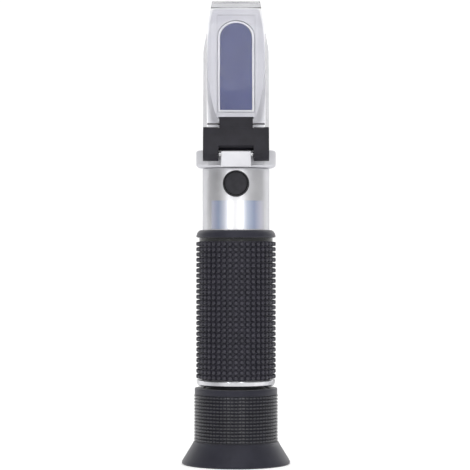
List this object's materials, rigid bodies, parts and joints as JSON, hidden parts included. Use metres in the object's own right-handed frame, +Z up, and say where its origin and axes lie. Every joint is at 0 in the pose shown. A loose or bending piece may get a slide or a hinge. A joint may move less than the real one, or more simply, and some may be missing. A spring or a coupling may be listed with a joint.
{
  "type": "handheld refractometer",
  "caption": "Slim handheld sugar refractometer standing on its flared eyecup, with a clear hinged lid over a sloping prism, a knobbed rubber grip, a turning eyepiece and a capped zero screw.",
  "frame": {"origin": "centre of the eyecup's flat rim, on the surface the instrument stands on", "axes": "+Z up along the optical axis to the prism end, the hinged lid and the zero screw towards -Y, +X to the right when looking at the lid"},
  "size_m": [0.039, 0.039, 0.167],
  "materials": {
    "satin_metal": "satin",
    "polished_metal": "polished",
    "steel": "turned",
    "brass": "turned",
    "black_rubber": "matt moulded",
    "black_plastic": "matt moulded",
    "black_anodised": "anodised black",
    "clear_acrylic": "clear moulded plastic",
    "blue_glass": "polished blue glass",
    "lens_glass": "polished",
    "white_seal": "white sealing compound",
    "foil": "holographic foil",
    "bimetal": "rolled strip"
  },
  "bodies": {
    "body": {"main_tube": "satin_metal", "grip_sleeve": "black_rubber", "rear_ring": "polished_metal", "foil_label": "foil", "guide_screw": "steel", "reticle_holder": "black_anodised", "reticle_disc": "lens_glass", "reticle_lock_ring": "brass", "light_stop": "black_anodised", "cell_carrier": "black_anodised", "bimetal_strip": "bimetal", "bimetal_screw": "steel", "return_spring": "steel", "prism_head": "satin_metal", "main_prism": "blue_glass", "prism_seal": "white_seal", "prism_lock_ring": "black_anodised", "hinge_pin": "steel", "adjuster_bush": "brass"},
    "lid": {"hinge_bracket": "black_plastic", "lid_plate": "clear_acrylic"},
    "cap": {"adjuster_cap": "black_rubber"},
    "zero_screw": {"adjuster_screw": "steel", "adjuster_clip": "steel"},
    "objective_cell": {"lens_cell": "black_anodised", "objective_lens": "lens_glass", "objective_lock_ring": "brass"},
    "focus_slide": {"focus_seal_ring": "black_rubber"},
    "eyepiece": {"eyepiece_barrel": "black_anodised", "eye_lens": "lens_glass", "eye_lens_lock_ring": "black_anodised", "lens_spacer": "black_anodised", "field_lens": "lens_glass", "field_lens_lock_ring": "black_anodised", "eyecup": "black_rubber"}
  },
  "joints": [
    {"name": "lid_hinge", "type": "hinge", "parent": "body", "child": "lid", "pos_m": [0, -0.01268, 0.1108], "axis": [1, 0, 0], "range_deg": [0, 120]},
    {"name": "focus_travel", "type": "slide", "parent": "body", "child": "focus_slide", "axis": [0, 0, -1], "range_m": [-0.0004, 0.004]},
    {"name": "eyepiece_turn", "type": "hinge", "parent": "focus_slide", "child": "eyepiece", "pos_m": [0, 0, 0.027], "axis": [0, 0, -1], "range_deg": [-20, 200]},
    {"name": "cap_pull", "type": "slide", "parent": "body", "child": "cap", "axis": [0, -1, 0], "range_m": [0, 0.006]},
    {"name": "zero_screw_turn", "type": "hinge", "parent": "body", "child": "zero_screw", "pos_m": [0, -0.0126, 0.1007], "axis": [0, -1, 0], "range_deg": [-180.1, 180.1]},
    {"name": "objective_shift", "type": "slide", "parent": "body", "child": "objective_cell", "axis": [0, -1, 0], "range_m": [-0.00025, 0.00025]}
  ],
  "couplings": [
    {"joint": "focus_travel", "follows": "eyepiece_turn", "m_per_rad": 0.0011459},
    {"joint": "zero_screw_turn", "follows": "objective_shift", "rad_per_m": 12566}
  ]
}
